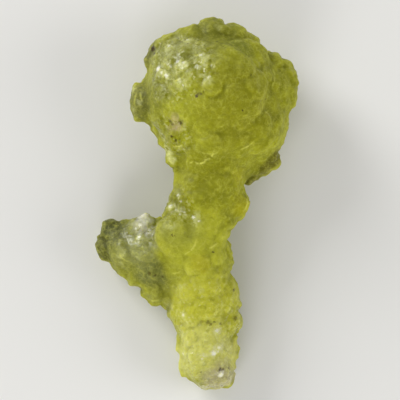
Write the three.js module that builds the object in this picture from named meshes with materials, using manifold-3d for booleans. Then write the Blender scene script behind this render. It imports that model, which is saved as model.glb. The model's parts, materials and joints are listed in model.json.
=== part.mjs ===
// A botryoidal specimen of yellow brucite: a knobbly club that grew as one piece.
// It lies on its back. X runs across it, Y from its narrow foot to its head and Z up from the table.
// Sizes are in millimetres.
import * as THREE from "three";
import { MarchingCubes } from "three/addons/objects/MarchingCubes.js";
import { mergeVertices } from "three/addons/utils/BufferGeometryUtils.js";
import Module from "manifold-3d";

const wasm = await Module();
wasm.setup();

// Driving dimensions.
const facetSize = 1.25; // the pitch of the grid that the surface is read on
const growthBox = 82.5; // a cube round the specimen, a whole number of facets wide
const growthMiddle = [0, 0, 12]; // the middle of that cube
const bodyBlend = 3.2; // how softly the masses of the body run into each other
const knobBlend = 0.8; // the crease round a knob is tighter
const bubbleBlend = 0.35; // and tightest round the small bubbles
const bubbleSpacing = 3.2; // from the middle of one bubble to the next, at least
const bubbleRadius = [1.8, 3.2];
const bubbleRise = [0.3, 0.8]; // how far a bubble stands out of the body
const bubbleTries = 14; // places tried per square millimetre of a mass's half-widths
const deepestTry = 1.5; // a place further inside the body than this is passed over
const growthSeed = 20417;
const bubbleReach = 4; // further from the body than this, no bubble shapes the surface
const slopeStep = 0.05; // how far apart the surface is sampled to find which way is out
const leastSlope = 0.2; // keeps a step onto the surface short where the slope is faint
const leastDepth = 0.2; // keeps the facets from shrinking to slivers at the grid's corners
const mostFacets = 40000; // room for the facets before they are trimmed
const mergedWithin = 1e-3; // corners nearer than this are one
const evenPasses = 3; // how often the facets are evened out
const evenPull = 0.6; // how far a corner moves to the middle of its neighbours each time
const slabSize = 200; // a block under the table, wider than the specimen
const brucite = { color: 0xa3a238, roughness: 0.45, metalness: 0.0 };

// The masses that make up the body: the middle of each [x, y, z] and its half-widths [x, y, z].
const bodyMasses = [
  // head
  { at: [3.0, 22.8, 10.8], half: [11.9, 11.2, 11.6] },
  { at: [-2.6, 27.2, 11.0], half: [7.1, 6.7, 8.2] },
  { at: [8.2, 26.8, 10.5], half: [6.2, 6.3, 7.8] },
  { at: [14.0, 22.9, 9.6], half: [5.6, 5.7, 6.0] },
  { at: [10.4, 15.6, 10.0], half: [7.3, 6.8, 8.0] },
  { at: [2.6, 13.2, 12.2], half: [7.6, 5.8, 8.2] },
  { at: [-3.4, 15.2, 10.5], half: [4.7, 4.9, 6.5] },
  { at: [-4.6, 20.6, 10.5], half: [5.9, 5.4, 7.8] },
  { at: [10.8, 9.9, 6.2], half: [5.6, 5.0, 5.0] },
  // neck and waist
  { at: [2.4, 6.0, 10.0], half: [6.8, 6.8, 6.4] },
  { at: [1.8, 0.0, 9.4], half: [7.0, 6.4, 6.4] },
  { at: [-1.4, -7.6, 8.6], half: [7.0, 6.2, 6.8] },
  { at: [0.6, -13.4, 7.6], half: [5.6, 6.0, 6.4] },
  // arm
  { at: [-7.6, -10.4, 6.6], half: [5.8, 6.4, 5.6] },
  { at: [-12.6, -8.4, 5.4], half: [4.8, 4.4, 4.9] },
  { at: [-10.8, -12.6, 5.4], half: [4.4, 3.8, 4.4] },
  { at: [-15.0, -8.8, 4.2], half: [3.2, 3.2, 4.3] },
  // tail
  { at: [0.6, -18.0, 6.8], half: [6.4, 6.2, 6.0] },
  { at: [1.4, -24.2, 6.0], half: [5.6, 6.0, 5.6] },
  { at: [1.7, -30.0, 5.2], half: [5.2, 5.6, 5.4] },
  { at: [2.2, -33.0, 4.6], half: [4.2, 3.4, 4.7] },
];

// The knobs that stand out of the body.
const knobs = [
  // the front of the head and the lobes behind its edge
  { at: [4.0, 22.4, 14.8], half: [10.0, 10.2, 9.4] },
  { at: [2.8, 34.7, 12.5], half: [2.3, 2.2, 2.6] },
  { at: [7.2, 33.7, 11.5], half: [2.6, 2.3, 3.0] },
  { at: [10.1, 32.0, 11.5], half: [2.2, 2.0, 2.8] },
  { at: [-1.8, 33.0, 12.5], half: [2.8, 2.2, 3.0] },
  { at: [-6.1, 31.1, 11.5], half: [2.8, 2.5, 3.0] },
  { at: [-8.3, 29.8, 10.5], half: [1.6, 2.0, 2.4] },
  { at: [-10.7, 20.5, 9.5], half: [2.6, 3.8, 3.6] },
  { at: [-4.6, 9.2, 11.5], half: [1.8, 2.0, 2.6] },
  { at: [14.8, 28.1, 10.0], half: [2.8, 2.1, 2.8] },
  { at: [17.5, 25.8, 10.0], half: [2.1, 2.5, 2.6] },
  { at: [17.7, 21.2, 9.5], half: [2.0, 2.9, 3.0] },
  { at: [16.6, 15.4, 9.0], half: [1.8, 2.4, 2.8] },
  // neck and waist
  { at: [7.6, 0.0, 9.0], half: [2.5, 3.2, 4.0] },
  { at: [-4.8, -2.0, 10.0], half: [1.6, 2.4, 3.2] },
  { at: [-4.2, -7.0, 12.8], half: [3.6, 4.6, 3.6] },
  { at: [5.0, -10.6, 7.2], half: [1.7, 2.8, 3.6] },
  // arm
  { at: [-17.0, -5.8, 5.2], half: [2.4, 2.4, 3.2] },
  { at: [-17.5, -8.9, 4.0], half: [2.5, 2.7, 3.6] },
  { at: [-10.6, -4.6, 7.0], half: [1.9, 1.7, 2.4] },
  { at: [-13.2, -4.8, 6.2], half: [1.8, 1.8, 2.2] },
  { at: [-8.2, -17.3, 5.2], half: [3.0, 3.0, 4.0] },
  // tail
  { at: [-3.4, -20.6, 6.2], half: [2.6, 3.6, 4.0] },
  { at: [5.9, -18.6, 7.0], half: [2.5, 3.2, 3.8] },
  { at: [6.5, -23.8, 6.2], half: [2.4, 2.3, 3.6] },
  { at: [6.0, -29.6, 5.4], half: [2.0, 2.2, 3.2] },
  { at: [4.8, -34.8, 4.6], half: [2.7, 2.2, 4.0] },
  { at: [-1.4, -31.2, 5.2], half: [2.0, 2.0, 3.2] },
  // the underside
  { at: [-2.4, 27.4, 3.6], half: [4.2, 3.8, 3.6] },
  { at: [9.6, 26.4, 4.0], half: [4.4, 3.6, 3.4] },
  { at: [-2.4, 17.2, 4.0], half: [3.6, 4.0, 3.6] },
  { at: [5.8, 4.4, 5.2], half: [3.0, 3.6, 2.8] },
  { at: [-1.2, 0.6, 4.6], half: [3.4, 3.0, 2.6] },
  { at: [1.8, -7.2, 3.2], half: [3.8, 3.4, 2.6] },
  { at: [-7.4, -10.4, 2.6], half: [3.4, 3.6, 2.4] },
  { at: [2.4, -18.4, 2.4], half: [3.2, 3.8, 2.2] },
];

// A small repeatable generator, so that every build grows the same specimen.
function seededRandom(seed) {
  let state = seed >>> 0;
  return () => {
    state = (state + 0x6d2b79f5) >>> 0;
    let t = Math.imul(state ^ (state >>> 15), 1 | state);
    t = (t + Math.imul(t ^ (t >>> 7), 61 | t)) ^ t;
    return ((t ^ (t >>> 14)) >>> 0) / 4294967296;
  };
}

const lengthOf = (x, y, z) => Math.sqrt(x * x + y * y + z * z);

// How far a point is outside an ellipsoid, negative inside, good near its surface.
function outsideEllipsoid(x, y, z, { at, half }) {
  const dx = (x - at[0]) / half[0];
  const dy = (y - at[1]) / half[1];
  const dz = (z - at[2]) / half[2];
  const reach = lengthOf(dx, dy, dz);
  const steepness = lengthOf(dx / half[0], dy / half[1], dz / half[2]);
  return steepness < 1e-6 ? -Math.min(...half) : (reach * (reach - 1)) / steepness;
}

// The smaller of two distances, rounded over where they are within blend of each other.
function smoothMin(a, b, blend) {
  const overlap = Math.max(blend - Math.abs(a - b), 0) / blend;
  return Math.min(a, b) - overlap * overlap * blend * 0.25;
}

function outsideBody(x, y, z) {
  let distance = Infinity;
  for (const mass of bodyMasses) {
    distance = smoothMin(distance, outsideEllipsoid(x, y, z, mass), bodyBlend);
  }
  for (const knob of knobs) {
    distance = smoothMin(distance, outsideEllipsoid(x, y, z, knob), knobBlend);
  }
  return distance;
}

function gradient(outside, p) {
  const step = slopeStep;
  return new THREE.Vector3(
    outside(p.x + step, p.y, p.z) - outside(p.x - step, p.y, p.z),
    outside(p.x, p.y + step, p.z) - outside(p.x, p.y - step, p.z),
    outside(p.x, p.y, p.z + step) - outside(p.x, p.y, p.z - step),
  ).divideScalar(2 * step);
}

// Moves a point onto the surface by a few steps along the steepest way.
function settle(outside, p, steps) {
  for (let i = 0; i < steps; i++) {
    const slope = gradient(outside, p);
    p.addScaledVector(slope, -outside(p.x, p.y, p.z) / Math.max(slope.lengthSq(), leastSlope));
  }
}

// Bubbles all over the body, none nearer to another than the spacing.
function growBubbles(random) {
  const within = ([low, high]) => low + (high - low) * random();
  const bubbles = [];
  for (const mass of [...bodyMasses, ...knobs]) {
    const tries = Math.round(mass.half[0] * mass.half[1] * bubbleTries);
    for (let i = 0; i < tries; i++) {
      const p = new THREE.Vector3(random() - 0.5, random() - 0.5, random() - 0.5).normalize();
      p.multiply(new THREE.Vector3(...mass.half)).add(new THREE.Vector3(...mass.at));
      if (outsideBody(p.x, p.y, p.z) < -deepestTry) continue;
      settle(outsideBody, p, 4);
      if (bubbles.some((bubble) => bubble.seat.distanceTo(p) < bubbleSpacing)) continue;
      const radius = within(bubbleRadius);
      const outward = gradient(outsideBody, p).normalize();
      const middle = p.clone().addScaledVector(outward, within(bubbleRise) - radius);
      bubbles.push({ seat: p, at: middle.toArray(), half: [radius, radius, radius] });
    }
  }
  return bubbles;
}

const bubbles = growBubbles(seededRandom(growthSeed));

function outsideSpecimen(x, y, z) {
  let distance = outsideBody(x, y, z);
  if (Math.abs(distance) > bubbleReach) return distance;
  for (const { at, half } of bubbles) {
    const away = lengthOf(x - at[0], y - at[1], z - at[2]) - half[0];
    if (away < distance + bubbleBlend) distance = smoothMin(distance, away, bubbleBlend);
  }
  return distance;
}

// The surface as facets of about the grid's pitch.
function surfaceGeometry() {
  const cells = Math.round(growthBox / facetSize);
  const cubes = new MarchingCubes(cells, new THREE.Material(), false, false, mostFacets);
  const place = (i, axis) => ((i - cells / 2) / (cells / 2)) * (growthBox / 2) + growthMiddle[axis];
  for (let k = 0; k < cells; k++) {
    for (let j = 0; j < cells; j++) {
      for (let i = 0; i < cells; i++) {
        const depth = -outsideSpecimen(place(i, 0), place(j, 1), place(k, 2));
        cubes.setCell(i, j, k, Math.sign(depth) * Math.max(Math.abs(depth), leastDepth));
      }
    }
  }
  cubes.isolation = 0;
  cubes.update();
  const geometry = new THREE.BufferGeometry();
  const corners = cubes.positionArray.slice(0, cubes.count * 3);
  geometry.setAttribute("position", new THREE.BufferAttribute(corners, 3));
  geometry.scale(growthBox / 2, growthBox / 2, growthBox / 2);
  geometry.translate(...growthMiddle);
  return mergeVertices(geometry, mergedWithin);
}

// Slides the vertices along the surface until the facets are of even size.
function evenOut(geometry, passes) {
  const position = geometry.attributes.position;
  const neighbours = Array.from({ length: position.count }, () => new Set());
  const corners = geometry.index.array;
  for (let i = 0; i < corners.length; i += 3) {
    for (let j = 0; j < 3; j++) {
      neighbours[corners[i + j]].add(corners[i + ((j + 1) % 3)]);
      neighbours[corners[i + ((j + 1) % 3)]].add(corners[i + j]);
    }
  }
  const at = (i) => new THREE.Vector3().fromBufferAttribute(position, i);
  for (let pass = 0; pass < passes; pass++) {
    const moved = neighbours.map((around, i) => {
      const middle = new THREE.Vector3();
      for (const other of around) middle.add(at(other));
      const p = at(i).lerp(middle.divideScalar(around.size), evenPull);
      settle(outsideSpecimen, p, 2);
      return p;
    });
    moved.forEach((p, i) => position.setXYZ(i, p.x, p.y, p.z));
  }
  return geometry;
}

function solidOf(geometry) {
  return new wasm.Manifold(
    new wasm.Mesh({
      numProp: 3,
      vertProperties: geometry.attributes.position.array,
      triVerts: new Uint32Array(geometry.index.array),
    }),
  );
}

function geometryOf(solid) {
  const mesh = solid.getMesh();
  const geometry = new THREE.BufferGeometry();
  geometry.setAttribute("position", new THREE.BufferAttribute(mesh.vertProperties, 3));
  geometry.setIndex(new THREE.BufferAttribute(mesh.triVerts, 1));
  return geometry;
}

// The underside is trimmed where the lowest lobes touch the table.
function tableSlab() {
  const slab = new THREE.BoxGeometry(slabSize, slabSize, slabSize);
  slab.deleteAttribute("normal");
  slab.deleteAttribute("uv");
  return solidOf(mergeVertices(slab.translate(0, 0, -slabSize / 2)));
}

const grown = solidOf(evenOut(surfaceGeometry(), evenPasses));
const geometry = geometryOf(grown.subtract(tableSlab()));
geometry.computeBoundingBox();
const middle = geometry.boundingBox.getCenter(new THREE.Vector3());
geometry.translate(-middle.x, -middle.y, 0);

const specimen = new THREE.Mesh(geometry, new THREE.MeshStandardMaterial(brucite));
specimen.name = "brucite_specimen";

const group = new THREE.Group();
group.add(specimen);
export default group;
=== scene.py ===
import json
import math
import random

import bpy
from mathutils import Matrix, Vector, noise
from mathutils.kdtree import KDTree

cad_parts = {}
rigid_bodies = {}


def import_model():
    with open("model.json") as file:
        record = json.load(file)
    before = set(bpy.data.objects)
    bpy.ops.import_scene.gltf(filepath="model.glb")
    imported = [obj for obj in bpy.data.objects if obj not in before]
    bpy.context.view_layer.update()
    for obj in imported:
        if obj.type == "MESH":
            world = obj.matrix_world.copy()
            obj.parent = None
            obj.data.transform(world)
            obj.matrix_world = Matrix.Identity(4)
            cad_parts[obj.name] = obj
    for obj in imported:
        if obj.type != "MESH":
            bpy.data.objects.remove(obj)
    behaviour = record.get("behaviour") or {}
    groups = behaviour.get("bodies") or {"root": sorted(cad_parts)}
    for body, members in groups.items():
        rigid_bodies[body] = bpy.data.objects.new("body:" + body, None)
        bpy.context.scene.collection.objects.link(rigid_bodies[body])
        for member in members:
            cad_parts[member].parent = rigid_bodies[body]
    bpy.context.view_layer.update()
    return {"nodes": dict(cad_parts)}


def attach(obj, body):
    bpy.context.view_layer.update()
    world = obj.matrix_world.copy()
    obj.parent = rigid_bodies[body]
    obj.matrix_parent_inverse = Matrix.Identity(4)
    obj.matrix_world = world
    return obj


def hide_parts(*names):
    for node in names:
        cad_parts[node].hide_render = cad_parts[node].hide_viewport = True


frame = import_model()
seed = 71
random.seed(seed)
noise.seed_set(seed)
mm = 0.001  # sizes below are in millimetres, times mm where Blender wants metres
print("frame loaded")


def deselectAll():
    if bpy.context.mode != "OBJECT":
        bpy.ops.object.mode_set(mode="OBJECT")
    bpy.ops.object.select_all(action="DESELECT")


def pick(obj):
    deselectAll()
    obj.select_set(True)
    bpy.context.view_layer.objects.active = obj


def applyModifier(obj, kind, **settings):
    pick(obj)
    modifier = obj.modifiers.new(kind.lower(), kind)
    for name, value in settings.items():
        setattr(modifier, name, value)
    bpy.ops.object.modifier_apply(modifier=modifier.name)


def addObject(name, data):
    obj = bpy.data.objects.new(name, data)
    bpy.context.collection.objects.link(obj)
    return obj


# The body: a smooth copy of the solid, for the lobes to grow on.

bodyShape = {
    "voxel": 0.5,
    "smoothing": 8,
    "sunkBy": 0.3,  # room for the lobes inside the frame's box
}


def makeBody(node):
    body = addObject("brucite_crust", frame["nodes"][node].data.copy())
    body.data.materials.clear()
    pick(body)
    bpy.ops.object.mode_set(mode="EDIT")
    bpy.ops.mesh.select_all(action="SELECT")
    bpy.ops.mesh.remove_doubles(threshold=1e-6)
    bpy.ops.object.mode_set(mode="OBJECT")
    applyModifier(body, "REMESH", mode="VOXEL", voxel_size=bodyShape["voxel"] * mm)
    applyModifier(body, "SMOOTH", factor=0.5, iterations=bodyShape["smoothing"])
    applyModifier(body, "DISPLACE", strength=-bodyShape["sunkBy"] * mm, mid_level=0, direction="NORMAL")
    return body


body = makeBody("brucite_specimen")
print("body:", len(body.data.vertices), "vertices")

# The lobes: flattened balls that overlap like tiles, each with one edge lifted as a thin lip.

lobes = {
    "kinds": [
        {
            "name": "fan",
            "detail": 4,
            "spacing": 2.6,
            "radius": (2.2, 4.0),
            "rise": (0.05, 0.26),  # of the middle, over the body
            "lift": (0.1, 0.4),  # of the lip
            "fullness": 0.36,  # height of a lobe's half over its radius
        },
        {
            "name": "scale",
            "detail": 3,
            "spacing": 1.4,
            "radius": (1.0, 1.8),
            "rise": (0.04, 0.17),
            "lift": (0.05, 0.25),
            "fullness": 0.26,
        },
    ],
    "widestOnBody": 0.8,  # a lobe's radius over the radius that the body curves with
    "widths": (0.8, 1.15),  # across the lip, over the radius
    "steepest": 0.5,  # lift over radius
    "bendFrom": 0.6,  # the bend is read from here outwards, as a part of the spacing
    "leastBend": 1,  # per metre, as all the bends
    "deepestHollow": -25,  # past which no lobe grows
    "placedBend": 100,
    "placedDetail": 4,
    "placedFullness": 0.3,
    "lipWay": Vector((0.45, -0.85, -0.1)),  # most lips point towards the foot
    "lipSpread": 60,  # degrees
    "warps": [{"size": 2.2, "strength": 0.7}, {"size": 0.7, "strength": 0.3}],
    # smoother places: where, how far they reach, and how much of the relief is left
    "calm": [
        ((6.0, 18.0), 13.0, 0.3),
        ((3.0, 6.0), 7.0, 0.45),
        ((-2.6, -6.0), 6.5, 0.12),
        ((-13.6, -7.6), 9.5, 0.22),
        ((1.8, -22.0), 14.0, 0.35),
    ],
    # lobes with a lip that stands out: place, radius, rise, lift, and where the lip points, in degrees
    "placed": [
        ((0.3, 9.9), 2.0, 0.3, 0.3, -90),
        ((2.6, 10.4), 1.6, 0.26, 0.24, -60),
        ((-3.9, 12.6), 1.6, 0.26, 0.24, -100),
        ((8.8, 13.2), 3.0, 0.26, 0.3, -50),
        ((11.4, 24.0), 4.0, 0.16, 0.3, 0),
        ((11.4, 20.0), 3.4, 0.12, 0.26, -10),
        ((-3.6, -5.9), 4.4, 0.3, 0.15, -50),
        ((-14.0, -8.6), 2.7, 0.35, 0.1, -120),
        ((1.2, -12.2), 2.4, 0.24, 0.2, -60),
        ((5.0, -10.4), 2.8, 0.24, 0.2, -40),
        ((-3.6, 27.8), 2.0, 0.26, 0.2, -70),
        ((0.4, 28.6), 1.8, 0.24, 0.2, -60),
    ],
}


def seatsOn(body, spacing):
    # evenly spread places: where, which way is out, and how the body bends there
    verts = list(body.data.vertices)
    random.shuffle(verts)
    tree = KDTree(len(verts))
    for i, v in enumerate(verts):
        tree.insert(v.co, i)
    tree.balance()
    free = [True] * len(verts)
    seats = []
    for i, v in enumerate(verts):
        if not free[i]:
            continue
        bend = 0
        count = 0
        for co, j, away in tree.find_range(v.co, spacing):
            free[j] = False
            if away > spacing * lobes["bendFrom"]:
                bend += (verts[j].normal - v.normal).dot(co - v.co) / away / away
                count += 1
        seats.append((v.co.copy(), v.normal.copy(), bend / max(count, 1)))
    return seats


def lobePattern(name, detail):
    deselectAll()
    bpy.ops.mesh.primitive_ico_sphere_add(subdivisions=detail, radius=1)
    pattern = bpy.context.object
    pattern.name = name
    return pattern


def placeLobe(pattern, place, outward, lip, radius, rise, lift, bend, fullness):
    thickness = rise + radius * radius / 2 * bend + fullness * radius
    lip = (lip - outward * lip.dot(outward)).normalized()
    across = outward.cross(lip)
    turn = Matrix((lip, across, outward)).transposed()
    turn = Matrix.Rotation(-math.asin(min(lift / radius, lobes["steepest"])), 3, across) @ turn
    size = Matrix.Diagonal((radius, radius * random.uniform(*lobes["widths"]), thickness))
    lobe = addObject("lobe", pattern.data.copy())
    lobe.data.transform((turn @ size).to_4x4())
    lobe.data.transform(Matrix.Translation(place + outward * (rise - thickness)))
    return lobe


def relief(place, outward):
    # how strong the lobes are at a place, from 0 to 1
    strength = 1
    for at, reach, keep in lobes["calm"]:
        away = min((place.xy - Vector(at) * mm).length / reach / mm, 1)
        flatness = max(outward.z, 0) * (1 - away ** 3)
        strength = min(strength, 1 - (1 - keep) * flatness)
    return strength


def growLobes(body):
    grown = []
    for kind in lobes["kinds"]:
        pattern = lobePattern(kind["name"], kind["detail"])
        for place, outward, bend in seatsOn(body, kind["spacing"] * mm):
            if bend < lobes["deepestHollow"]:
                continue
            bend = max(bend, lobes["leastBend"])
            strength = relief(place, outward)
            radius = min(random.uniform(*kind["radius"]) * mm, lobes["widestOnBody"] / bend)
            rise = random.uniform(*kind["rise"]) * mm * strength
            lift = random.uniform(*kind["lift"]) * mm * strength
            swing = Matrix.Rotation(math.radians(random.gauss(0, lobes["lipSpread"])), 3, outward)
            lip = swing @ lobes["lipWay"]
            shape = radius, rise, lift, bend, kind["fullness"]
            grown.append(placeLobe(pattern, place, outward, lip, *shape))
        bpy.data.objects.remove(pattern)
    return grown


def onFront(obj, x, y):
    # the place on the front of the piece over x, y in millimetres, found from well above it
    _, place, outward, _ = obj.ray_cast(Vector((x * mm, y * mm, 100 * mm)), Vector((0, 0, -1)))
    return place, outward


def placeLobes(body):
    pattern = lobePattern("placed", lobes["placedDetail"])
    grown = []
    for at, radius, rise, lift, way in lobes["placed"]:
        place, outward = onFront(body, *at)
        lip = Vector((math.cos(math.radians(way)), math.sin(math.radians(way)), 0))
        shape = radius * mm, rise * mm, lift * mm, lobes["placedBend"], lobes["placedFullness"]
        grown.append(placeLobe(pattern, place, outward, lip, *shape))
    bpy.data.objects.remove(pattern)
    return grown


def warpLobes(grown):
    # no lobe is a true round: the whole layer is pushed about a little
    deselectAll()
    for lobe in grown:
        lobe.select_set(True)
    layer = grown[0]
    bpy.context.view_layer.objects.active = layer
    bpy.ops.object.join()
    for i, warp in enumerate(lobes["warps"]):
        texture = bpy.data.textures.new(f"warp{i}", "CLOUDS")
        texture.noise_scale = warp["size"] * mm
        texture.cloud_type = "COLOR"
        applyModifier(
            layer,
            "DISPLACE",
            texture=texture,
            texture_coords="LOCAL",
            direction="RGB_TO_XYZ",
            strength=warp["strength"] * mm,
            mid_level=0.5,
        )
    return layer


grown = growLobes(body) + placeLobes(body)
print("lobes:", len(grown))
layer = warpLobes(grown)

# The crust: body and lobes as one skin, cut flat where it lies, with a fine grain.

crustShape = {
    "voxel": 0.2,
    "smoothing": 1,
    "grains": [
        {"kind": "VORONOI", "size": 0.9, "height": -0.07},
        {"kind": "CLOUDS", "size": 0.5, "height": 0.07},
    ],
    "mostFaces": 198000,
    "grabHold": 0.24,  # a touch's reach sideways over its reach up and down
    "grabbedPart": 5,  # the outermost fifth of what is within reach says how high a touch sits
    # touches on the outline, as with a grab brush: centre, reach, and pull
    "grabs": [
        ((-0.3, 35.5), 1.6, (-0.1, 0.55)),
        ((1.2, 36.8), 1.2, (-0.25, 0.3)),
        ((-3.8, 35.0), 1.2, (-0.1, 0.3)),
        ((4.8, 36.6), 1.2, (0.5, 0.4)),
        ((-7.4, 33.7), 2.4, (0.25, -0.5)),
        ((-8.9, 32.6), 1.4, (0.2, -0.2)),
        ((-10.4, 29.1), 1.8, (-0.5, 0.0)),
        ((-10.3, 25.2), 1.5, (-0.35, 0.3)),
        ((-12.5, 23.9), 1.7, (-0.6, 0.6)),
        ((-13.0, 22.6), 1.5, (-0.3, 0.1)),
        ((-13.5, 19.8), 1.2, (0.12, 0.0)),
        ((-12.4, 16.7), 1.4, (-0.4, -0.35)),
        ((-9.9, 16.0), 1.0, (-0.1, -0.5)),
        ((-9.2, 14.8), 1.0, (-0.25, -0.1)),
        ((-7.6, 12.1), 1.5, (-0.45, -0.1)),
        ((-6.5, 9.6), 1.6, (0.5, 0.0)),
        ((-5.7, 7.7), 1.0, (0.2, 0.2)),
        ((-4.9, 7.0), 0.7, (0.1, 0.3)),
        ((-4.5, 5.8), 1.6, (-0.5, 0.0)),
        ((-4.8, 4.1), 1.2, (-0.25, 0.0)),
        ((-5.5, 1.2), 1.8, (-0.85, 0.0)),
        ((12.2, 32.9), 1.2, (0.25, 0.2)),
        ((14.1, 30.5), 1.0, (0.1, 0.55)),
        ((16.0, 30.0), 1.2, (0.2, 0.3)),
        ((17.1, 29.1), 0.7, (-0.1, -0.15)),
        ((18.7, 28.2), 1.4, (0.25, 0.25)),
        ((19.4, 26.3), 1.4, (0.4, 0.1)),
        ((19.6, 24.1), 1.7, (0.9, 0.0)),
        ((19.9, 20.6), 1.0, (-0.15, 0.0)),
        ((19.4, 19.4), 0.8, (0.15, -0.1)),
        ((18.2, 14.2), 1.7, (-0.4, 0.1)),
        ((18.3, 15.9), 1.2, (-0.2, 0.0)),
        ((17.1, 12.3), 1.3, (0.35, -0.1)),
        ((16.3, 10.4), 0.9, (-0.5, 0.0)),
        ((16.1, 8.1), 1.6, (0.75, -0.2)),
        ((13.2, 5.5), 1.8, (-0.25, 0.35)),
        ((12.0, 4.6), 1.2, (-0.1, 0.25)),
        ((9.8, 4.1), 1.5, (0.0, -0.6)),
        ((10.2, 0.2), 2.4, (0.55, 0.05)),
        ((9.1, -2.8), 1.5, (0.3, -0.25)),
        ((7.1, -4.5), 1.7, (0.4, -0.25)),
        ((6.5, -6.3), 1.2, (0.3, -0.1)),
        ((6.7, -8.3), 1.2, (0.7, 0.1)),
        ((7.0, -10.0), 1.6, (0.5, 0.0)),
        ((7.1, -11.5), 1.2, (0.5, 0.0)),
        ((6.8, -13.7), 0.7, (-0.3, 0.0)),
        ((7.4, -14.9), 1.1, (0.2, 0.2)),
        ((8.3, -20.6), 1.7, (0.7, 0.0)),
        ((7.8, -26.7), 1.3, (0.65, -0.1)),
        ((7.7, -27.8), 0.9, (0.2, 0.0)),
        ((8.2, -29.0), 1.6, (0.7, 0.0)),
        ((7.6, -31.0), 1.5, (0.6, 0.0)),
        ((7.3, -32.6), 1.5, (0.5, 0.0)),
        ((7.5, -34.3), 1.2, (0.25, -0.1)),
        ((6.5, -36.3), 1.2, (0.2, -0.3)),
        ((3.5, -36.8), 2.6, (0.0, -0.6)),
        ((1.2, -36.7), 1.6, (-0.1, -0.5)),
        ((-3.0, -34.0), 1.4, (-0.3, -0.4)),
        ((-3.3, -32.7), 1.6, (-0.7, -0.1)),
        ((-4.1, -29.9), 0.9, (-0.35, 0.0)),
        ((-4.3, -27.8), 1.8, (0.35, 0.0)),
        ((-5.5, -22.6), 1.8, (-0.65, -0.25)),
        ((-6.9, -20.5), 0.9, (-0.1, 0.6)),
        ((-10.2, -19.3), 2.0, (0.3, 0.35)),
        ((-13.3, -15.8), 1.9, (-0.5, -0.8)),
        ((-15.7, -14.2), 1.4, (-0.2, -0.25)),
        ((-17.1, -12.7), 1.4, (-0.3, -0.25)),
        ((-19.2, -10.9), 1.7, (-0.4, -0.6)),
        ((-20.0, -9.8), 1.0, (-0.2, -0.1)),
        ((-20.0, -6.9), 0.9, (-0.35, 0.15)),
        ((-18.7, -3.9), 1.6, (-0.5, 0.5)),
        ((-17.5, -3.1), 1.2, (0.0, 0.3)),
        ((-13.4, -3.0), 0.9, (0.0, 0.3)),
        ((-10.5, -2.2), 1.5, (0.0, 0.65)),
        ((-8.4, -2.7), 0.8, (0.0, -0.45)),
        ((-6.9, -1.5), 0.9, (0.3, -0.1)),
        ((0.4, 36.3), 0.9, (-0.3, 0.3)),
        ((-6.0, 34.3), 1.4, (0.0, -0.25)),
        ((-10.4, 27.6), 1.0, (-0.3, 0.0)),
        ((-11.0, 24.5), 0.9, (-0.35, 0.25)),
        ((20.0, 25.3), 1.0, (0.4, 0.15)),
        ((20.1, 23.1), 0.9, (0.35, 0.0)),
        ((16.0, 7.0), 0.9, (0.1, -0.3)),
        ((14.9, 6.3), 1.0, (-0.1, 0.25)),
        ((12.7, 5.2), 1.1, (-0.15, 0.4)),
        ((10.6, 3.9), 0.9, (0.1, -0.3)),
        ((-4.8, 4.9), 1.3, (-0.25, 0.0)),
        ((-5.4, 2.2), 1.3, (-0.35, 0.05)),
        ((-7.4, -2.5), 0.6, (-0.1, 0.5)),
        ((-10.2, -19.4), 1.6, (0.2, 0.25)),
        ((-7.0, -20.6), 0.8, (0.0, 0.5)),
        ((-3.6, -33.4), 1.3, (-0.5, -0.2)),
        ((-2.8, -34.5), 1.0, (-0.2, -0.3)),
        ((1.9, -37.1), 1.6, (0.0, -0.3)),
        ((6.0, -36.9), 1.2, (0.1, -0.35)),
        ((7.5, -33.3), 1.0, (0.45, 0.0)),
        ((7.8, -31.6), 1.2, (0.5, 0.0)),
        ((8.3, -29.8), 1.1, (0.3, 0.0)),
        ((8.4, -21.0), 0.8, (0.3, 0.0)),
        ((6.9, -8.8), 0.8, (0.3, 0.0)),
        ((7.1, -12.0), 0.9, (0.25, 0.0)),
    ],
    # places where the lobes melt into one another: where, reach, and how often they are smoothed
    "softened": [
        ((-3.8, -6.4), 7.5, 90),
        ((-14.4, -8.8), 5.0, 24),
        ((-3.6, -32.0), 4.0, 16),
        ((7.2, -31.0), 4.0, 16),
    ],
    "softenedEdge": 0.5,  # the outer part of the reach, in which the smoothing fades
}


def grabOutline(obj):
    # each touch takes hold of the widest place of the side there, and fades above and below it
    verts = obj.data.vertices
    tree = KDTree(len(verts))
    for i, v in enumerate(verts):
        tree.insert((v.co.x, v.co.y, 0), i)
    tree.balance()
    for centre, reach, pull in crustShape["grabs"]:
        column = tree.find_range((centre[0] * mm, centre[1] * mm, 0), reach * mm)
        outward = sum((verts[i].normal.xy for _, i, _ in column), Vector((0, 0)))
        column.sort(key=lambda hit: -verts[hit[1]].co.xy.dot(outward))
        widest = [verts[i].co.z for _, i, _ in column[: len(column) // crustShape["grabbedPart"] + 1]]
        level = sum(widest) / len(widest)
        for _, i, away in column:
            rise = (verts[i].co.z - level) * crustShape["grabHold"]
            near = 1 - math.hypot(away, rise) / reach / mm
            if near > 0:
                verts[i].co += Vector((*pull, 0)) * mm * near * near * (3 - 2 * near)


def softenPlaces(obj):
    for at, reach, times in crustShape["softened"]:
        centre = onFront(obj, *at)[0]
        group = obj.vertex_groups.new(name="softened")
        for v in obj.data.vertices:
            near = 1 - (v.co - centre).length / reach / mm
            if near > 0:
                group.add([v.index], min(near / crustShape["softenedEdge"], 1), "REPLACE")
        applyModifier(obj, "SMOOTH", vertex_group=group.name, factor=0.5, iterations=times)
        obj.vertex_groups.clear()


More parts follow.
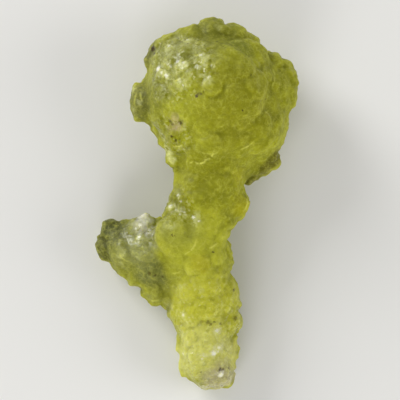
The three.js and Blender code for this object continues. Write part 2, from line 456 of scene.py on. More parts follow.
def fuseCrust(body, layer):
    deselectAll()
    layer.select_set(True)
    body.select_set(True)
    bpy.context.view_layer.objects.active = body
    bpy.ops.object.join()
    applyModifier(body, "REMESH", mode="VOXEL", voxel_size=crustShape["voxel"] * mm)
    applyModifier(body, "SMOOTH", factor=0.5, iterations=crustShape["smoothing"])
    grabOutline(body)
    softenPlaces(body)
    for i, grain in enumerate(crustShape["grains"]):
        texture = bpy.data.textures.new(f"grain{i}", grain["kind"])
        texture.noise_scale = grain["size"] * mm
        applyModifier(
            body,
            "DISPLACE",
            texture=texture,
            texture_coords="LOCAL",
            strength=grain["height"] * mm,
            mid_level=0.5,
        )
    pick(body)
    bpy.ops.object.mode_set(mode="EDIT")
    bpy.ops.mesh.select_all(action="SELECT")
    bpy.ops.mesh.bisect(plane_co=(0, 0, 0), plane_no=(0, 0, 1), clear_inner=True, use_fill=True)
    bpy.ops.mesh.select_all(action="SELECT")
    bpy.ops.mesh.quads_convert_to_tris()
    bpy.ops.object.mode_set(mode="OBJECT")
    print("before thinning:", len(body.data.polygons), "triangles")
    applyModifier(body, "DECIMATE", ratio=crustShape["mostFaces"] / len(body.data.polygons))
    bpy.ops.object.shade_smooth()


fuseCrust(body, layer)
crust = body
print("crust:", len(crust.data.polygons), "faces")


reliefMarks = {
    # passes of smoothing that the skin is held against, and the height that counts as 1
    "lipRelief": (6, 0.03),
    "lobeRelief": (60, 0.12),
}


def markRelief(obj, name, passes, height):
    # how far each point stands over a smoothed copy of the piece, from -1 to 1
    smooth = addObject("smooth", obj.data.copy())
    applyModifier(smooth, "SMOOTH", factor=0.5, iterations=passes)
    marks = obj.data.attributes.new(name, "FLOAT", "POINT")
    for v, w, mark in zip(obj.data.vertices, smooth.data.vertices, marks.data):
        mark.value = max(-1, min(1, (v.co - w.co).dot(w.normal) / height / mm))
    bpy.data.objects.remove(smooth)


for name, (passes, height) in reliefMarks.items():
    markRelief(crust, name, passes, height)
print("relief marked")

# Node building.


def addNode(tree, kind, **settings):
    node = tree.nodes.new(kind)
    for name, value in settings.items():
        setattr(node, name, value)
    return node


def feed(tree, node, **values):
    # sets or links a node's inputs by their names, with _ for a space, or by number as n0, n1
    for name, value in values.items():
        numbered = name[0] == "n" and name[1:].isdigit()
        socket = node.inputs[int(name[1:]) if numbered else name.replace("_", " ")]
        if isinstance(value, bpy.types.NodeSocket):
            tree.links.new(value, socket)
        else:
            socket.default_value = value
    return node


def newGroup(name, inputs, outputs):
    group = bpy.data.node_groups.new(name, "ShaderNodeTree")
    for label, kind, value in inputs:
        socket = group.interface.new_socket(label, in_out="INPUT", socket_type=kind)
        if value is not None:
            socket.default_value = value
    for label, kind in outputs:
        group.interface.new_socket(label, in_out="OUTPUT", socket_type=kind)
    return group, addNode(group, "NodeGroupInput").outputs, addNode(group, "NodeGroupOutput")


def mathNode(tree, operation, a, b=0.0, clamp=False):
    node = addNode(tree, "ShaderNodeMath", operation=operation, use_clamp=clamp)
    return feed(tree, node, n0=a, n1=b).outputs[0]


def vectorNode(tree, operation, a, b=None, scale=None):
    node = addNode(tree, "ShaderNodeVectorMath", operation=operation)
    feed(tree, node, n0=a)
    if b is not None:
        feed(tree, node, n1=b)
    if scale is not None:
        feed(tree, node, Scale=scale)
    return node.outputs["Value" if operation in ("LENGTH", "DOT_PRODUCT", "DISTANCE") else "Vector"]


def rangeNode(tree, value, low, high, toLow=0.0, toHigh=1.0):
    node = addNode(tree, "ShaderNodeMapRange", interpolation_type="SMOOTHSTEP")
    feed(tree, node, Value=value, From_Min=low, From_Max=high, To_Min=toLow, To_Max=toHigh)
    return node.outputs[0]


def mixColour(tree, under, over, mask, blend="MIX"):
    node = addNode(tree, "ShaderNodeMix", data_type="RGBA", blend_type=blend)
    for socket, value in ((node.inputs["Factor"], mask), (node.inputs[6], under), (node.inputs[7], over)):
        if isinstance(value, bpy.types.NodeSocket):
            tree.links.new(value, socket)
        else:
            socket.default_value = value if isinstance(value, float) else (*value, 1)
    return node.outputs[2]


def shrunkPlace(group, given):
    return vectorNode(group, "SCALE", given["Place"], scale=mathNode(group, "DIVIDE", 1.0, given["Size"]))


def grainGroup():
    # cloudy grain of a given size, from 0 to 1
    group, given, out = newGroup(
        "crystalGrain",
        [
            ("Place", "NodeSocketVector", None),
            ("Size", "NodeSocketFloat", 1.0),
            ("Contrast", "NodeSocketFloat", 0.25),
        ],
        [("Value", "NodeSocketFloat")],
    )
    clouds = addNode(group, "ShaderNodeTexNoise")
    feed(group, clouds, Vector=shrunkPlace(group, given), Scale=1.0, Detail=3.0, Roughness=0.6)
    low = mathNode(group, "SUBTRACT", 0.5, given["Contrast"])
    high = mathNode(group, "ADD", 0.5, given["Contrast"])
    feed(group, out, Value=rangeNode(group, clouds.outputs[0], low, high))
    return group


def veinGroup():
    # thin wandering lines, where light catches the rims of the plates
    group, given, out = newGroup(
        "plateRims",
        [
            ("Place", "NodeSocketVector", None),
            ("Size", "NodeSocketFloat", 1.0),
            ("Width", "NodeSocketFloat", 0.03),
        ],
        [("Line", "NodeSocketFloat")],
    )
    clouds = addNode(group, "ShaderNodeTexNoise")
    feed(group, clouds, Vector=shrunkPlace(group, given), Scale=1.0)
    feed(group, clouds, Detail=2.0, Roughness=0.5, Distortion=0.6)
    off = mathNode(group, "ABSOLUTE", mathNode(group, "SUBTRACT", clouds.outputs[0], 0.5))
    feed(group, out, Line=rangeNode(group, off, 0.0, given["Width"], 1.0, 0.0))
    return group


def facetGroup():
    # small crystal plates: each tilted its own way, with its own random tone, and a mask along its edges
    # for painted highlights
    group, given, out = newGroup(
        "crystalPlates",
        [
            ("Place", "NodeSocketVector", None),
            ("Size", "NodeSocketFloat", 1.0),
            ("Warp", "NodeSocketFloat", 0.5),
        ],
        [("Height", "NodeSocketFloat"), ("Shade", "NodeSocketFloat"), ("Edge", "NodeSocketFloat")],
    )
    shrunk = shrunkPlace(group, given)
    clouds = feed(group, addNode(group, "ShaderNodeTexNoise"), Vector=shrunk, Scale=1.3, Detail=2.0)
    push = vectorNode(group, "SUBTRACT", clouds.outputs["Color"], (0.5, 0.5, 0.5))
    warped = vectorNode(group, "ADD", shrunk, vectorNode(group, "SCALE", push, scale=given["Warp"]))
    cells = addNode(group, "ShaderNodeTexVoronoi", feature="F1")
    feed(group, cells, Vector=warped, Scale=1.0)
    border = addNode(group, "ShaderNodeTexVoronoi", feature="DISTANCE_TO_EDGE")
    feed(group, border, Vector=warped, Scale=1.0)
    tilt = vectorNode(group, "SUBTRACT", cells.outputs["Color"], (0.5, 0.5, 0.5))
    offset = vectorNode(group, "SUBTRACT", warped, cells.outputs["Position"])
    height = mathNode(group, "MULTIPLY", vectorNode(group, "DOT_PRODUCT", offset, tilt), given["Size"])
    shade = feed(group, addNode(group, "ShaderNodeSeparateColor"), Color=cells.outputs["Color"])
    line = rangeNode(group, border.outputs["Distance"], 0.02, 0.14, 1.0, 0.0)
    edge = mathNode(group, "MULTIPLY", line, rangeNode(group, shade.outputs[1], 0.35, 0.8))
    feed(group, out, Height=height, Shade=shade.outputs[0], Edge=edge)
    return group


def wanderGroup():
    # pushes the place about, so that marks painted with it get ragged edges
    group, given, out = newGroup(
        "wander",
        [
            ("Place", "NodeSocketVector", None),
            ("Size", "NodeSocketFloat", 1.0),
            ("Amount", "NodeSocketFloat", 0.5),
        ],
        [("Place", "NodeSocketVector")],
    )
    clouds = addNode(group, "ShaderNodeTexNoise")
    feed(group, clouds, Vector=shrunkPlace(group, given), Scale=1.0, Detail=2.0, Roughness=0.6)
    push = vectorNode(group, "SUBTRACT", clouds.outputs["Color"], (0.5, 0.5, 0.5))
    push = vectorNode(group, "SCALE", push, scale=given["Amount"])
    feed(group, out, Place=vectorNode(group, "ADD", given["Place"], push))
    return group


def patchGroup():
    # a spot round a centre
    group, given, out = newGroup(
        "patch",
        [
            ("Place", "NodeSocketVector", None),
            ("Centre", "NodeSocketVector", None),
            ("Radius", "NodeSocketFloat", 1.0),
            ("Softness", "NodeSocketFloat", 0.5),
        ],
        [("Mask", "NodeSocketFloat")],
    )
    away = vectorNode(group, "DISTANCE", given["Place"], given["Centre"])
    inner = mathNode(group, "SUBTRACT", 1.0, given["Softness"])
    inner = mathNode(group, "MULTIPLY", given["Radius"], inner)
    outer = mathNode(group, "ADD", 1.0, given["Softness"])
    outer = mathNode(group, "MULTIPLY", given["Radius"], outer)
    feed(group, out, Mask=rangeNode(group, away, inner, outer, 1.0, 0.0))
    return group


def arcGroup():
    # the lit rim of a lobe: part of a ring round the centre, on the side that Way points to
    group, given, out = newGroup(
        "lipArc",
        [
            ("Place", "NodeSocketVector", None),
            ("Centre", "NodeSocketVector", None),
            ("Radius", "NodeSocketFloat", 1.0),
            ("Width", "NodeSocketFloat", 0.2),
            ("Way", "NodeSocketVector", None),
            ("Reach", "NodeSocketFloat", 0.7),
        ],
        [("Mask", "NodeSocketFloat")],
    )
    offset = vectorNode(group, "SUBTRACT", given["Place"], given["Centre"])
    apart = feed(group, addNode(group, "ShaderNodeSeparateXYZ"), Vector=offset).outputs["Z"]
    offset = vectorNode(group, "MULTIPLY", offset, (1, 1, 0))
    away = vectorNode(group, "LENGTH", offset)
    off = mathNode(group, "ABSOLUTE", mathNode(group, "SUBTRACT", away, given["Radius"]))
    ring = rangeNode(group, off, 0.0, given["Width"], 1.0, 0.0)
    towards = vectorNode(group, "DOT_PRODUCT", vectorNode(group, "NORMALIZE", offset), given["Way"])
    side = rangeNode(group, towards, given["Reach"], 1.0, 0.0, 1.0)
    far = mathNode(group, "MULTIPLY", given["Radius"], 2.0)
    near = rangeNode(group, mathNode(group, "ABSOLUTE", apart), given["Radius"], far, 1.0, 0.0)
    feed(group, out, Mask=mathNode(group, "MULTIPLY", mathNode(group, "MULTIPLY", ring, side), near))
    return group


grainNodes = grainGroup()
veinNodes = veinGroup()
facetNodes = facetGroup()
wanderNodes = wanderGroup()
patchNodes = patchGroup()
arcNodes = arcGroup()

# The brucite's finish, with painted highlights and painted shade in its colour. Colours are linear, and
# places in millimetres.

brucite = {
    "olive": (0.25, 0.26, 0.006),
    "yellow": (0.36, 0.367, 0.009),
    # painted light: the bright colour laid on lips, lit rims, plate and chip edges and rim lines, where
    # light catches or shines through them
    "lip": (0.70, 0.70, 0.13),
    # painted shade in the creases between the lobes, also the colour of the dark chips, which are the
    # crust's own tone
    "creaseShadeAndDarkChip": (0.17, 0.17, 0.006),
    "speck": (0.05, 0.026, 0.004),
    # the frost and pearl tints are partly the crust's own whitish colour and partly painted highlights
    "frostAndHighlight": (0.74, 0.76, 0.30),
    "pearlAndHighlight": (0.82, 0.80, 0.66),
    "glint": (0.95, 0.95, 0.80),
    "blush": (0.56, 0.47, 0.22),
    "ior": 1.57,
    "specular": 0.3,
    "subsurface": 0.6,
    "scatter": (1.0, 0.95, 0.22),
    "scatterDepth": 2.0,
    # away from the glinting places, and in them
    "roughness": (0.6, 0.16),
    "coat": (0.02, 0.4),
    "bump": (0.3, 1.2),
    "coatRoughness": 0.1,
    # the grains, with sizes in millimetres
    "grains": {
        "slightWander": {"Size": 1.2, "Amount": 0.4},
        "minuteWander": {"Size": 0.3, "Amount": 0.9},
        "cloud": {"Size": 2.6, "Contrast": 0.16},
        "mottle": {"Size": 1.0, "Contrast": 0.2},
        "dust": {"Size": 0.36, "Contrast": 0.22},
        "rimLightLines": {"Size": 1.5, "Width": 0.035},
        "fineVeins": {"Size": 0.8, "Width": 0.06},
        "plates": {"Size": 1.1, "Warp": 0.7},
        "chips": {"Size": 0.5, "Warp": 0.6},
        "tiles": {"Size": 1.7, "Warp": 1.1},
    },
    # what the mottling, the dust and the plates multiply the colour by
    "mottleTint": (1.3, 1.3, 1.4),
    "dustTint": (0.7, 0.7, 0.6),
    "plateTint": (0.74, 0.74, 0.6),
    # how strongly each layer shows in the colour: the plate and chip edges, rim lines, lips and chip
    # glints are painted highlights, the creases are painted shade, and the dark chips are the crust's own
    # tone
    "shows": {
        "mottle": 0.3,
        "dust": 0.2,
        "plates": 0.35,
        "plateEdgeLight": 0.18,
        "chipEdgeLight": 0.06,
        "creaseShade": 0.2,
        "rimLightLines": 0.22,
        "lips": 0.12,
        "chipGlints": 0.35,
        "darkChips": 0.12,
    },
    "rimWidth": 0.3,
    "markSoftness": 0.6,
    # and how high it stands, in millimetres
    "heights": {"plates": 0.4, "chips": 0.4, "tiles": 0.35, "dust": 0.02, "fineVeins": 0.012},
    # the frosted places, partly painted highlights, are broken up: tiles and fine veins add to them, and
    # chips take away
    "frosting": {"tiles": 0.75, "fineVeins": 0.35, "chips": 0.25},
    # edges of the painted spots: softness, and the size and reach of their wandering
    "zoneEdges": (0.45, (2.4, 1.3)),
    "frostEdges": (0.5, (0.6, 0.6)),
    "sparkleEdges": (0.35, (2.4, 1.3)),
    # broad zones of another colour, some of them painted shade on thin edge lobes and painted glow along
    # the right edge: place, radius, colour, amount
    "zones": [
        ((0.5, -9.5), 7.0, (0.52, 0.535, 0.035), 0.65),
        ((-3.5, -5.0), 4.5, (0.34, 0.355, 0.045), 0.6),
        ((1.5, -22.0), 8.0, (0.59, 0.59, 0.056), 0.85),
        ((1.5, -30.0), 6.0, (0.66, 0.66, 0.17), 0.9),
        ((-3.6, -31.6), 3.2, (0.62, 0.62, 0.14), 0.8),
        ((7.2, -30.6), 3.2, (0.60, 0.59, 0.14), 0.7),
        ((4.6, -35.6), 3.6, (0.45, 0.415, 0.21), 0.95),
        ((7.3, -34.9), 1.8, (0.45, 0.415, 0.21), 0.9),
        ((-5.0, 27.5), 7.0, (0.26, 0.275, 0.04), 0.8),
        ((0.5, 18.5), 7.5, (0.41, 0.425, 0.018), 0.75),
        ((-9.0, 21.0), 3.6, (0.21, 0.22, 0.010), 0.9),
        # painted shade: the thin lobes at the arm's tip darkened
        ((-16.4, -8.2), 6.5, (0.18, 0.19, 0.03), 0.9),
        ((-18.8, -5.2), 4.6, (0.082, 0.093, 0.015), 0.9),
        ((-20.0, -9.0), 3.0, (0.10, 0.106, 0.01), 0.9),
        ((-12.0, -7.4), 4.6, (0.33, 0.345, 0.12), 0.85),
        ((-9.0, -14.6), 3.6, (0.155, 0.168, 0.045), 0.8),
        ((-8.0, -18.6), 2.4, (0.27, 0.275, 0.04), 0.6),
        ((-15.4, -11.6), 2.4, (0.32, 0.325, 0.05), 0.45),
        ((-10.8, -2.8), 1.7, (0.60, 0.61, 0.50), 0.95),
        # painted shade: the thin lobes on the right edge darkened
        ((15.6, 8.6), 2.2, (0.12, 0.112, 0.004), 0.95),
        ((13.4, 6.4), 1.8, (0.13, 0.122, 0.004), 0.95),
        ((11.0, 4.6), 1.5, (0.15, 0.142, 0.004), 0.9),
        ((4.0, 33.4), 5.0, (0.18, 0.19, 0.012), 0.75),
        ((8.4, 31.0), 2.6, (0.15, 0.175, 0.008), 0.6),
        ((-9.8, 30.6), 3.0, (0.14, 0.145, 0.028), 0.9),
        # painted shade: a thin lobe on the left edge darkened
        ((-12.4, 20.4), 3.8, (0.145, 0.15, 0.022), 0.9),
        ((-8.5, 16.5), 2.4, (0.24, 0.25, 0.02), 0.5),
        ((0.9, -11.9), 1.9, (0.42, 0.38, 0.006), 0.5),
        # painted glow along the right edge, where light shines through the thin crust
        ((9.0, -0.4), 2.2, (0.42, 0.40, 0.005), 0.8),
        ((7.8, 5.2), 2.0, (0.42, 0.41, 0.006), 0.8),
        ((8.5, 19.0), 9.0, (0.28, 0.28, 0.004), 0.8),
        ((2.0, 6.0), 5.0, (0.26, 0.265, 0.004), 0.6),
    ],
    # places whose crystal faces catch the light: place, radius
    "sparkles": [
        ((-4.5, 27.5), 8.0),
        ((-5.0, 13.5), 4.5),
        ((-11.4, -6.2), 4.6),
        ((-3.5, -1.0), 4.0),
        ((1.5, -23.0), 9.0),
        ((3.0, -33.0), 6.0),
    ],
    # frosted places, partly the crust's own whitish colour and partly painted highlights where the plates
    # catch the light: place, radius, amount, tint
    "frostsAndHighlights": [
        ((-7.8, 26.8), 0.6, 1.0, "pearlAndHighlight"),
        ((-6.2, 25.6), 1.0, 0.9, "frostAndHighlight"),
        ((-7.1, 26.2), 1.1, 0.8, "frostAndHighlight"),
        ((-5.6, 27.6), 2.6, 0.45, "frostAndHighlight"),
        ((-3.3, 27.4), 1.5, 1.0, "frostAndHighlight"),
        ((0.9, 28.6), 1.5, 0.75, "frostAndHighlight"),
        ((-5.6, 31.2), 1.5, 0.6, "frostAndHighlight"),
        ((-2.0, 32.4), 1.1, 0.6, "frostAndHighlight"),
        ((-2.0, 30.4), 3.0, 0.3, "frostAndHighlight"),
        ((1.2, 26.8), 1.0, 0.5, "frostAndHighlight"),
        ((1.6, 24.6), 1.6, 0.5, "frostAndHighlight"),
        ((-3.0, 23.8), 1.6, 0.45, "frostAndHighlight"),
        ((-6.5, 22.5), 2.0, 0.15, "frostAndHighlight"),
        ((4.1, 35.2), 0.8, 0.6, "frostAndHighlight"),
        ((-13.0, 22.8), 1.1, 0.7, "frostAndHighlight"),
        ((-11.6, 20.6), 0.7, 0.5, "frostAndHighlight"),
        ((-12.8, 18.4), 1.0, 0.6, "frostAndHighlight"),
        ((-4.6, 15.9), 1.9, 0.9, "blush"),
        ((-5.8, 10.6), 1.3, 0.85, "frostAndHighlight"),
        ((-5.2, 8.6), 1.0, 0.8, "frostAndHighlight"),
        ((-10.9, -2.2), 1.3, 1.0, "pearlAndHighlight"),
        ((-11.6, -4.8), 1.5, 0.7, "pearlAndHighlight"),
        ((-9.4, -5.4), 1.3, 0.6, "pearlAndHighlight"),
        ((-11.6, -6.8), 0.9, 0.6, "frostAndHighlight"),
        ((-13.5, -9.6), 1.9, 0.4, "frostAndHighlight"),
        ((-15.3, -11.2), 1.3, 0.4, "frostAndHighlight"),
        ((-3.9, 1.6), 0.7, 0.9, "frostAndHighlight"),
        ((-5.4, -0.6), 0.8, 0.9, "frostAndHighlight"),
        ((-3.4, -2.0), 1.6, 0.6, "frostAndHighlight"),
        ((-5.4, -4.2), 1.1, 0.5, "frostAndHighlight"),
        ((-0.2, -2.6), 1.1, 0.6, "frostAndHighlight"),
        ((-0.6, -4.2), 0.7, 0.6, "frostAndHighlight"),
        ((-2.9, -22.3), 0.9, 0.6, "frostAndHighlight"),
        ((-3.2, -17.0), 0.8, 0.5, "frostAndHighlight"),
        ((0.6, -17.2), 0.8, 0.4, "frostAndHighlight"),
        ((3.9, -25.5), 0.9, 0.6, "pearlAndHighlight"),
        ((4.2, -29.0), 1.2, 0.5, "pearlAndHighlight"),
        ((3.3, -30.2), 1.1, 0.8, "pearlAndHighlight"),
        ((0.9, -31.0), 1.0, 0.5, "pearlAndHighlight"),
        ((-2.8, -30.4), 0.9, 0.4, "frostAndHighlight"),
        ((4.7, -34.5), 0.9, 0.9, "pearlAndHighlight"),
        ((4.4, -36.2), 2.4, 0.4, "pearlAndHighlight"),
        ((1.8, -36.7), 1.8, 0.4, "pearlAndHighlight"),
        ((6.6, -35.4), 1.6, 0.45, "pearlAndHighlight"),
    ],
    # lit rims: centre, radius, way in degrees, how much of the ring, amount
    "rims": [
        ((0.5, 9.3), 1.4, -80, 0.35, 0.9),
        ((1.3, 10.5), 1.9, -45, 0.6, 0.8),
        ((-1.6, 9.0), 0.9, -90, 0.4, 0.7),
        ((-3.9, 12.5), 1.2, -90, 0.5, 0.8),
        ((7.7, 15.1), 4.4, -60, 0.9, 0.7),
        ((10.5, 25.1), 4.8, -5, 0.8, 0.5),
        ((13.0, 19.5), 1.6, -60, 0.6, 0.4),
        ((7.4, 0.3), 2.6, 0, 0.6, 0.6),
        ((-9.3, 20.4), 3.3, 175, 0.85, 0.45),
        ((-8.2, 22.0), 3.2, 190, 0.85, 0.35),
        ((11.6, 7.2), 3.2, -40, 0.7, 0.4),
        ((2.4, -19.4), 3.6, -110, 0.75, 0.5),
        ((2.0, -27.0), 4.2, -70, 0.75, 0.5),
        ((-13.6, -9.4), 2.2, -130, 0.7, 0.5),
        ((-8.8, -17.4), 2.2, -100, 0.7, 0.5),
        ((-4.6, 26.4), 2.2, -60, 0.7, 0.6),
        ((-2.4, 28.8), 2.6, -120, 0.7, 0.5),
        ((0.6, 27.8), 1.6, -30, 0.7, 0.6),
        ((-5.4, 31.0), 1.8, 100, 0.7, 0.5),
        ((-0.4, 31.6), 2.4, -80, 0.7, 0.4),
        ((-4.2, -6.4), 4.1, -42, 0.7, 0.5),
        ((1.6, -6.0), 3.0, -60, 0.85, 0.7),
        ((-4.5, -12.4), 1.6, -80, 0.7, 0.5),
        ((2.6, 15.4), 5.6, -95, 0.9, 0.35),
    ],
    # bright glints: place, radius, amount
    "glints": [
        ((-7.8, 26.8), 0.5, 1.0),
        ((-7.1, 26.0), 0.3, 0.7),
        ((-6.2, 25.3), 0.4, 0.9),
        ((-5.3, 27.1), 0.26, 0.5),
        ((-3.9, 28.0), 0.34, 0.6),
        ((-2.7, 27.9), 0.3, 0.5),
        ((0.7, 29.3), 0.3, 0.7),
        ((2.3, 24.9), 0.3, 0.5),
        ((-2.0, 32.5), 0.26, 0.7),
        ((-5.7, 31.3), 0.3, 0.6),
        ((-2.9, 23.3), 0.24, 0.6),
        ((-11.7, -6.7), 0.3, 0.7),
        ((-9.7, -5.3), 0.3, 0.7),
        ((-11.5, -4.3), 0.36, 0.8),
        ((-12.4, -5.1), 0.26, 0.7),
        ((-5.5, -0.5), 0.36, 0.8),
        ((-3.9, 1.7), 0.3, 0.7),
        ((-3.3, 0.5), 0.24, 0.6),
        ((-3.5, -2.1), 0.26, 0.6),
        ((-0.9, -2.7), 0.3, 0.7),
        ((0.3, -3.5), 0.2, 0.6),
        ((-2.9, -22.3), 0.34, 0.5),
        ((3.9, -25.5), 0.36, 0.5),
        ((3.3, -30.1), 0.45, 0.65),
        ((0.9, -31.1), 0.26, 0.6),
        ((4.3, -28.9), 0.3, 0.7),
        ((-2.9, -30.3), 0.3, 0.5),
        ((4.7, -34.5), 0.5, 0.6),
    ],
    # dark specks: place, radius, amount
    "specks": [
        ((-8.9, 30.9), 0.55, 1.0),
        ((-8.6, 29.9), 0.3, 0.8),
        ((-0.2, 21.1), 0.32, 0.9),
        ((0.1, 21.5), 0.28, 0.6),
        ((0.7, 21.5), 0.26, 0.6),
        ((1.2, 21.9), 0.2, 0.7),
        ((-5.4, 16.3), 0.36, 0.8),
        ((-5.0, 15.7), 0.3, 0.6),
        ((-3.3, 16.0), 0.42, 0.8),
        ((-2.9, 16.3), 0.26, 0.7),
        ((-5.1, 13.3), 0.26, 0.95),
        ((-4.3, 12.5), 0.3, 0.8),
        ((3.9, 32.1), 0.2, 0.9),
        ((-1.9, 31.7), 0.18, 0.7),
        ((8.9, 18.3), 0.18, 0.9),
        ((10.1, 29.1), 0.18, 0.7),
        ((13.5, 20.7), 0.2, 0.7),
        ((15.5, 11.9), 0.2, 0.6),
        ((10.5, 25.3), 0.16, 0.7),
        ((-5.1, -6.3), 0.24, 0.8),
        ((-4.5, -6.4), 0.16, 0.6),
        ((3.1, -9.7), 0.2, 0.8),
        ((-9.6, -14.0), 0.4, 0.6),
        ((-8.5, -14.4), 0.26, 0.7),
        ((-7.0, -14.7), 0.2, 0.8),
        ((7.3, -17.3), 0.36, 0.9),
        ((0.9, -23.6), 0.4, 0.4),
        ((2.1, -23.8), 0.4, 0.5),
        ((2.6, -24.2), 0.3, 0.6),
        ((3.4, -23.7), 0.26, 0.5),
        ((4.6, -24.1), 0.28, 0.5),
        ((7.6, -23.1), 0.5, 0.5),
        ((4.5, -33.3), 0.4, 0.7),
        ((5.1, -33.3), 0.3, 0.5),
        ((6.3, -33.1), 0.3, 0.6),
        ((0.7, -33.9), 0.2, 0.7),
    ],
}


def paintSpots(obj, name, spots, softness, wander):
    # soft spots over one another, with wandering edges: colours times their cover, and the cover as alpha
    layer = obj.data.attributes.new(name, "FLOAT_COLOR", "POINT")
    spots = [
        (onFront(obj, *at)[0], radius * mm, Vector(tint), amount)
        for at, radius, tint, amount in spots
    ]
    for v, mark in zip(obj.data.vertices, layer.data):
        place = v.co + noise.noise_vector(v.co / mm / wander[0]) * wander[1] * mm
        colour = Vector((0, 0, 0))
        cover = 0
        for centre, radius, tint, amount in spots:
            near = (1 + softness - (place - centre).length / radius) / softness / 2
            if near > 0:
                near = min(near, 1)
                part = amount * near * near * (3 - 2 * near)
                colour = colour * (1 - part) + tint * part
                cover = cover * (1 - part) + part
        mark.color = (*colour, cover)


frostsAndHighlights = [(at, radius, brucite[tint], amount) for at, radius, amount, tint in brucite["frostsAndHighlights"]]
sparkles = [(at, radius, (1, 1, 1), 1) for at, radius in brucite["sparkles"]]
paintSpots(crust, "zones", brucite["zones"], *brucite["zoneEdges"])
paintSpots(crust, "frostsAndHighlights", frostsAndHighlights, *brucite["frostEdges"])
paintSpots(crust, "sparkles", sparkles, *brucite["sparkleEdges"])
print("spots painted")


def bruciteMaterial():
    material = bpy.data.materials.new("brucite")
    material.use_nodes = True
    tree = material.node_tree
    shader = tree.nodes["Principled BSDF"]
    coordinates = addNode(tree, "ShaderNodeTexCoord").outputs["Object"]
    place = vectorNode(tree, "SCALE", coordinates, scale=1 / mm)

    def use(group, at=place, **values):
        return feed(tree, addNode(tree, "ShaderNodeGroup", node_tree=group), Place=at, **values).outputs

    def times(a, b):
        return mathNode(tree, "MULTIPLY", a, b)

    def front(at):
        return tuple(onFront(crust, *at)[0] / mm)

    def painted(under, name, grain):
        # lays a painted layer over a colour; it holds its colours times their cover
        layer = addNode(tree, "ShaderNodeAttribute", attribute_name=name).outputs
        bare = mathNode(tree, "SUBTRACT", 1.0, times(layer["Alpha"], grain))
        over = vectorNode(tree, "SCALE", layer["Color"], scale=grain)
        return vectorNode(tree, "ADD", vectorNode(tree, "SCALE", under, scale=bare), over)

    def attribute(name):
        return addNode(tree, "ShaderNodeAttribute", attribute_name=name).outputs["Fac"]

    def between(mask, ends):
        return rangeNode(tree, mask, 0.0, 1.0, *ends)

    grains = brucite["grains"]
    slightly = use(wanderNodes, **grains["slightWander"])[0]
    minutely = use(wanderNodes, **grains["minuteWander"])[0]
    cloud = use(grainNodes, **grains["cloud"])[0]
    mottle = use(grainNodes, **grains["mottle"])[0]
    dust = use(grainNodes, **grains["dust"])[0]
    rimLightLines = use(veinNodes, **grains["rimLightLines"])[0]
    fineVeins = use(veinNodes, **grains["fineVeins"])[0]
    plates = use(facetNodes, **grains["plates"])
    chips = use(facetNodes, **grains["chips"])
    tiles = use(facetNodes, **grains["tiles"])
    # painted light on the lips, and painted shade in the creases, both read from the relief marks
    lipLightMask = rangeNode(tree, attribute("lipRelief"), 0.2, 0.9)
    creaseShadeMask = rangeNode(tree, attribute("lobeRelief"), -0.1, -0.8)
    sparkle = addNode(tree, "ShaderNodeAttribute", attribute_name="sparkles").outputs["Alpha"]

    colour = mixColour(tree, brucite["olive"], brucite["yellow"], cloud)
    colour = painted(colour, "zones", 1.0)
    for tint, grain, shows in (
        ("mottleTint", mottle, "mottle"),
        ("dustTint", dust, "dust"),
        ("plateTint", plates["Shade"], "plates"),
    ):
        colour = mixColour(tree, colour, brucite[tint], times(grain, brucite["shows"][shows]), "MULTIPLY")
    # painted glints on scattered chips in the glinting places, and dark chips of the crust's own tone
    glintChips = times(rangeNode(tree, chips["Shade"], 0.9, 0.93), sparkle)
    darkened = rangeNode(tree, chips["Shade"], 0.12, 0.08)
    # painted highlights on plate and chip edges, rim lines and lips, and painted shade in the creases
    for tint, mask, shows in (
        ("lip", plates["Edge"], "plateEdgeLight"),
        ("lip", chips["Edge"], "chipEdgeLight"),
        ("creaseShadeAndDarkChip", creaseShadeMask, "creaseShade"),
        ("lip", times(rimLightLines, mottle), "rimLightLines"),
        ("lip", lipLightMask, "lips"),
        ("frostAndHighlight", glintChips, "chipGlints"),
        ("creaseShadeAndDarkChip", darkened, "darkChips"),
    ):
        colour = mixColour(tree, colour, brucite[tint], times(mask, brucite["shows"][shows]))
    # the frosted places, partly painted highlights
    frosting = brucite["frosting"]
    white = times(rangeNode(tree, tiles["Shade"], 0.2, 0.8), frosting["tiles"])
    white = mathNode(tree, "ADD", white, times(fineVeins, frosting["fineVeins"]))
    broken = mathNode(tree, "SUBTRACT", white, times(chips["Shade"], frosting["chips"]), True)
    colour = painted(colour, "frostsAndHighlights", broken)
    rimGrain = rangeNode(tree, mottle, 0.1, 0.6)
    for at, radius, way, reach, amount in brucite["rims"]:
        way = (math.cos(math.radians(way)), math.sin(math.radians(way)), 0)
        shape = {"Radius": radius, "Width": brucite["rimWidth"], "Way": way, "Reach": reach}
        arc = use(arcNodes, slightly, Centre=front(at), **shape)[0]
        colour = mixColour(tree, colour, brucite["lip"], times(times(arc, amount), rimGrain))
    for name in ("glint", "speck"):
        for at, radius, amount in brucite[name + "s"]:
            shape = {"Radius": radius, "Softness": brucite["markSoftness"]}
            dot = use(patchNodes, minutely, Centre=front(at), **shape)[0]
            colour = mixColour(tree, colour, brucite[name], times(dot, amount))

    shine = times(sparkle, between(mottle, (1.0, 0.6)))
    heights = brucite["heights"]
    height = times(plates["Height"], heights["plates"])
    height = mathNode(tree, "ADD", height, times(chips["Height"], heights["chips"]))
    height = mathNode(tree, "ADD", height, times(tiles["Height"], heights["tiles"]))
    height = times(height, between(sparkle, brucite["bump"]))
    height = mathNode(tree, "ADD", height, times(dust, heights["dust"]))
    height = mathNode(tree, "ADD", height, times(fineVeins, heights["fineVeins"]))
    bump = feed(tree, addNode(tree, "ShaderNodeBump"), Height=height, Strength=1.0, Distance=mm)

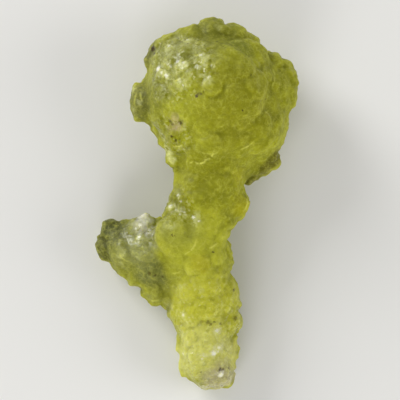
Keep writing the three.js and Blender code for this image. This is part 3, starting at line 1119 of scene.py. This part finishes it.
    feed(
        tree,
        shader,
        Base_Color=colour,
        Roughness=between(shine, brucite["roughness"]),
        Normal=bump.outputs[0],
        IOR=brucite["ior"],
        Specular_IOR_Level=brucite["specular"],
        Coat_Weight=between(sparkle, brucite["coat"]),
        Coat_Roughness=brucite["coatRoughness"],
        Subsurface_Weight=brucite["subsurface"],
        Subsurface_Radius=brucite["scatter"],
        Subsurface_Scale=brucite["scatterDepth"] * mm,
    )
    return material


crust.data.materials.append(bruciteMaterial())
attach(crust, "root")
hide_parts("brucite_specimen")
print("brucite finished")

# Floor, light and camera.

studio = {
    "floorSize": 3.0,
    "floorColour": (0.8, 0.8, 0.78),
    "skyColour": (1.0, 0.98, 0.95),
    "skyStrength": 0.36,
    "lamps": [
        {"name": "key", "at": (-0.52, 0.47, 0.36), "size": 0.34, "power": 4.0, "shines": True},
        {"name": "rightFill", "at": (0.75, -0.1, 0.34), "size": 0.5, "power": 3.0, "shines": False},
        {"name": "footFill", "at": (-0.25, -0.75, 0.34), "size": 0.5, "power": 4.0, "shines": False},
    ],
}


def makeStudio():
    deselectAll()
    bpy.ops.mesh.primitive_plane_add(size=studio["floorSize"])
    floor = bpy.context.object
    floor.name = "floor"
    paint = bpy.data.materials.new("paleFloor")
    paint.use_nodes = True
    shader = paint.node_tree.nodes["Principled BSDF"]
    feed(paint.node_tree, shader, Base_Color=(*studio["floorColour"], 1), Roughness=0.8)
    floor.data.materials.append(paint)
    for lamp in studio["lamps"]:
        light = bpy.data.lights.new(lamp["name"], "AREA")
        light.energy = lamp["power"]
        light.size = lamp["size"]
        holder = addObject(lamp["name"], light)
        holder.location = lamp["at"]
        holder.visible_glossy = lamp["shines"]
        holder.rotation_euler = (-Vector(lamp["at"])).to_track_quat("-Z", "Y").to_euler()
    world = bpy.data.worlds.new("studio")
    world.use_nodes = True
    sky = world.node_tree.nodes["Background"]
    feed(world.node_tree, sky, Color=(*studio["skyColour"], 1), Strength=studio["skyStrength"])
    bpy.context.scene.world = world
    world.cycles_visibility.glossy = False  # so that the sky lays no grey sheen over the specimen


makeStudio()

view = {
    "distance": 0.6,
    "width": 0.080,  # of the field of view at the specimen's middle height
    "middle": (0.0005, 0.0007, 0.012),
    "sensor": 36,
}


def makeCamera():
    camera = bpy.data.cameras.new("camera")
    camera.sensor_width = view["sensor"]
    camera.lens = view["sensor"] * view["distance"] / view["width"]
    holder = addObject("camera", camera)
    holder.location = Vector(view["middle"]) + Vector((0, 0, view["distance"]))
    bpy.context.scene.camera = holder
    bpy.context.scene.view_settings.view_transform = "Standard"


makeCamera()
print("studio and camera set")
